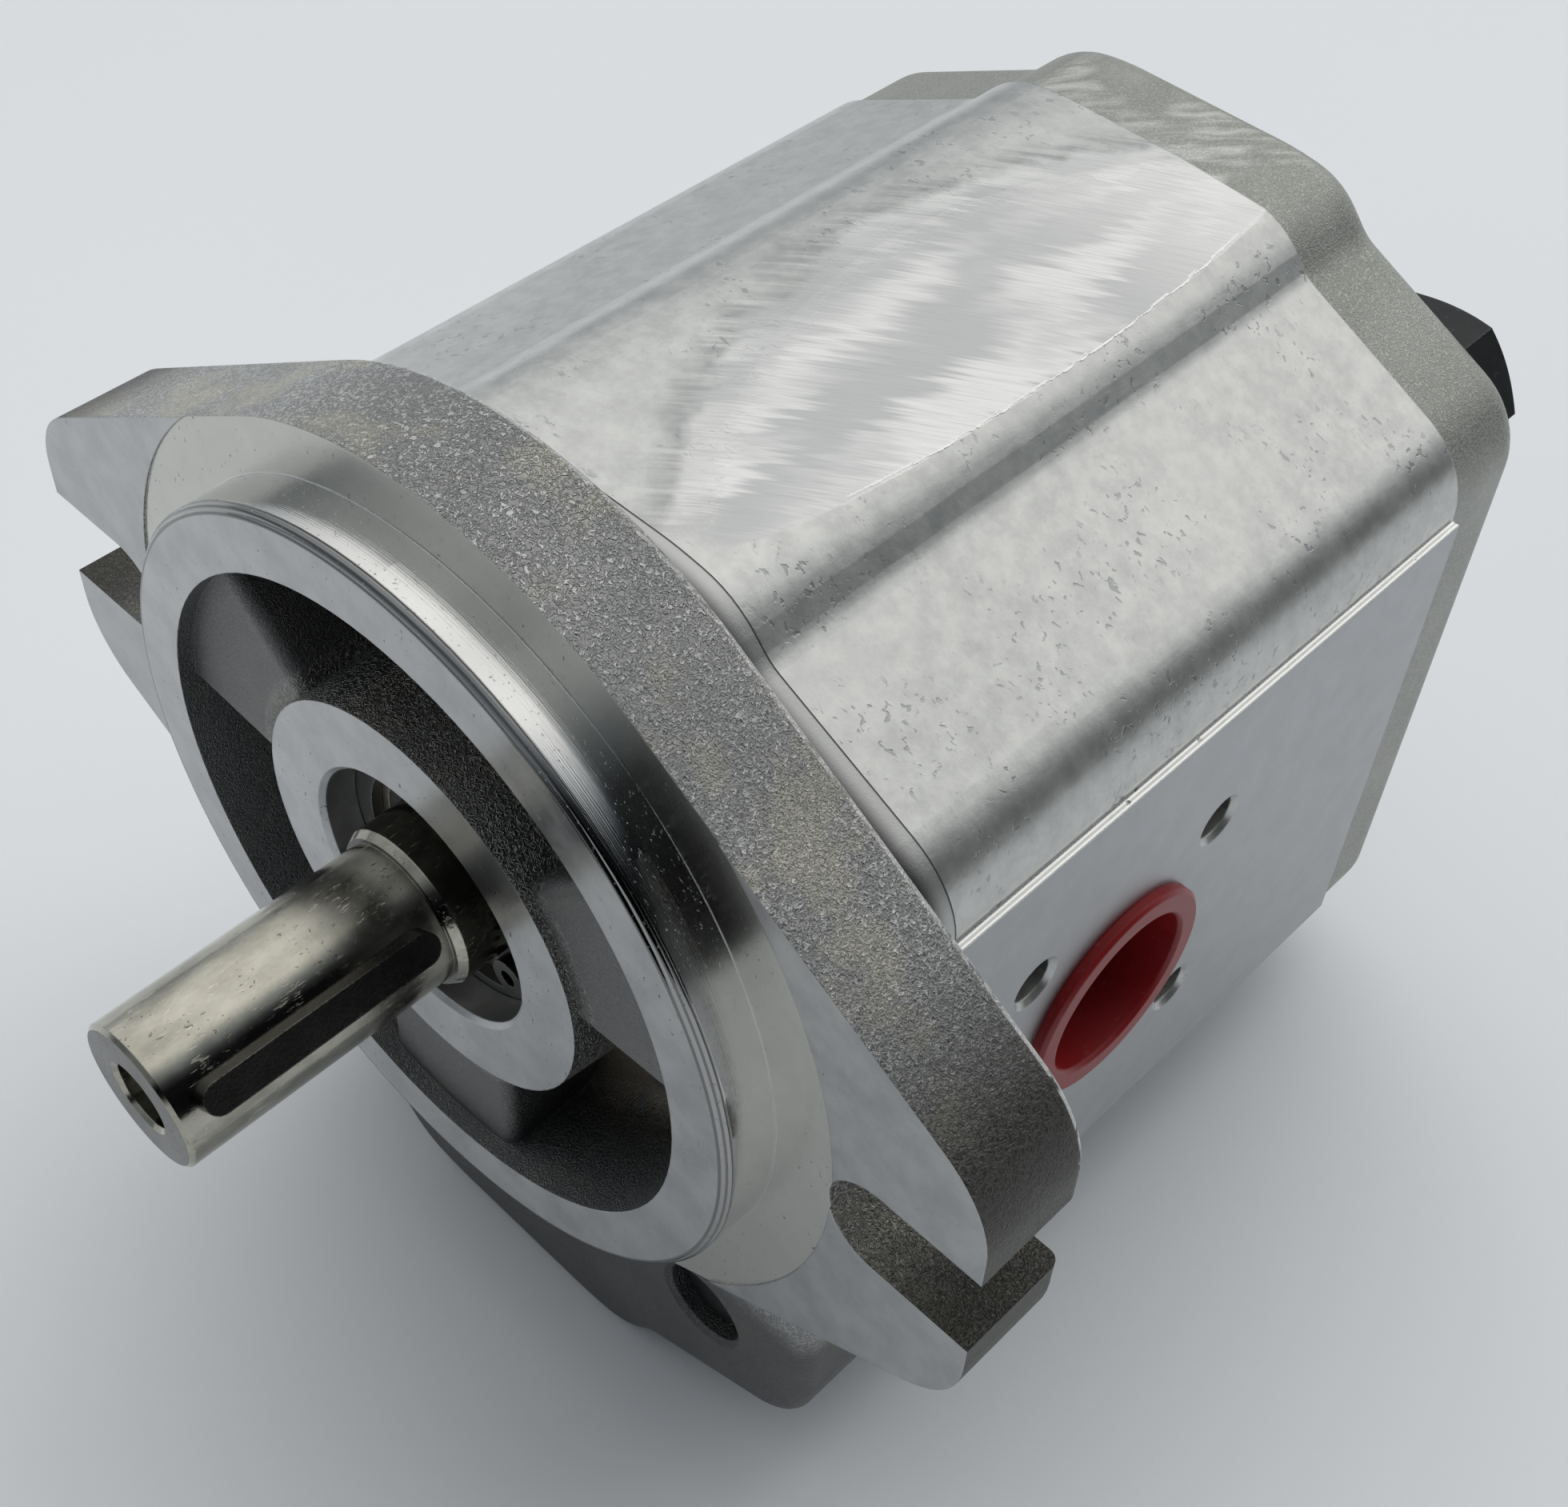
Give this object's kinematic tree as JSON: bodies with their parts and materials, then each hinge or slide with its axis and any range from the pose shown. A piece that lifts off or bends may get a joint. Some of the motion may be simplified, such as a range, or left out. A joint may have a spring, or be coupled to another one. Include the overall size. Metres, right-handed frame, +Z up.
{
  "type": "hydraulic gear pump",
  "caption": "External gear pump with a round pilot, slotted two-bolt flange, keyed shaft, side ports with transport plugs, and a meshing gear pair inside.",
  "frame": {"origin": "centre of the pilot on the flange's mounting face", "axes": "+Y along the drive shaft axis from the flange toward the rear cover, so the shaft sticks out toward -Y; +X toward the inlet port; +Z up, from the driven gear toward the drive gear"},
  "size_m": [0.1278, 0.1491, 0.1188],
  "materials": {
    "cast_flange": "rough sand-cast skin, machined face and pilot",
    "extruded_body": "satin extruded, machined ends and ports",
    "cast_cover": "sand-cast grey",
    "bearing_alloy": "turned",
    "bush_metal": "PTFE-bronze lined",
    "ground_steel": "ground",
    "key_steel": "drawn, dark",
    "seal_case_steel": "pressed",
    "spring_steel": "drawn wire",
    "ring_steel": "phosphated",
    "seal_rubber": "moulded nitrile rubber",
    "backup_plastic": "PTFE",
    "black_bolt": "black oxide",
    "red_plastic": "moulded polyethylene"
  },
  "bodies": {
    "housing": {"mounting_flange": "cast_flange", "pump_body": "extruded_body", "rear_cover": "cast_cover", "front_bearing_block": "bearing_alloy", "rear_bearing_block": "bearing_alloy", "front_drive_bush": "bush_metal", "front_driven_bush": "bush_metal", "rear_drive_bush": "bush_metal", "rear_driven_bush": "bush_metal", "shaft_seal_case": "seal_case_steel", "shaft_seal_lip": "seal_rubber", "seal_garter_spring": "spring_steel", "seal_retaining_ring": "ring_steel", "front_body_seal": "seal_rubber", "rear_body_seal": "seal_rubber", "front_balance_seal": "seal_rubber", "rear_balance_seal": "seal_rubber", "front_backup_ring": "backup_plastic", "rear_backup_ring": "backup_plastic", "front_dowel_pins": "ground_steel", "rear_dowel_pins": "ground_steel", "body_bolts": "black_bolt"},
    "drive": {"drive_gear_shaft": "ground_steel", "shaft_key": "key_steel"},
    "driven": {"driven_gear_shaft": "ground_steel"},
    "inlet_plug": {"inlet_port_plug": "red_plastic"},
    "outlet_plug": {"outlet_port_plug": "red_plastic"}
  },
  "joints": [
    {"name": "drive_spin", "type": "hinge", "parent": "housing", "child": "drive", "pos_m": [0, 0, 0], "axis": [0, 1, 0], "continuous": true},
    {"name": "driven_spin", "type": "hinge", "parent": "housing", "child": "driven", "pos_m": [0, 0, -0.034], "axis": [0, 1, 0], "continuous": true},
    {"name": "inlet_plug_pull", "type": "slide", "parent": "housing", "child": "inlet_plug", "axis": [1, 0, 0], "range_m": [0, 0.03]},
    {"name": "outlet_plug_pull", "type": "slide", "parent": "housing", "child": "outlet_plug", "axis": [-1, 0, 0], "range_m": [0, 0.03]}
  ],
  "couplings": [
    {"joint": "driven_spin", "follows": "drive_spin", "ratio": -1}
  ]
}
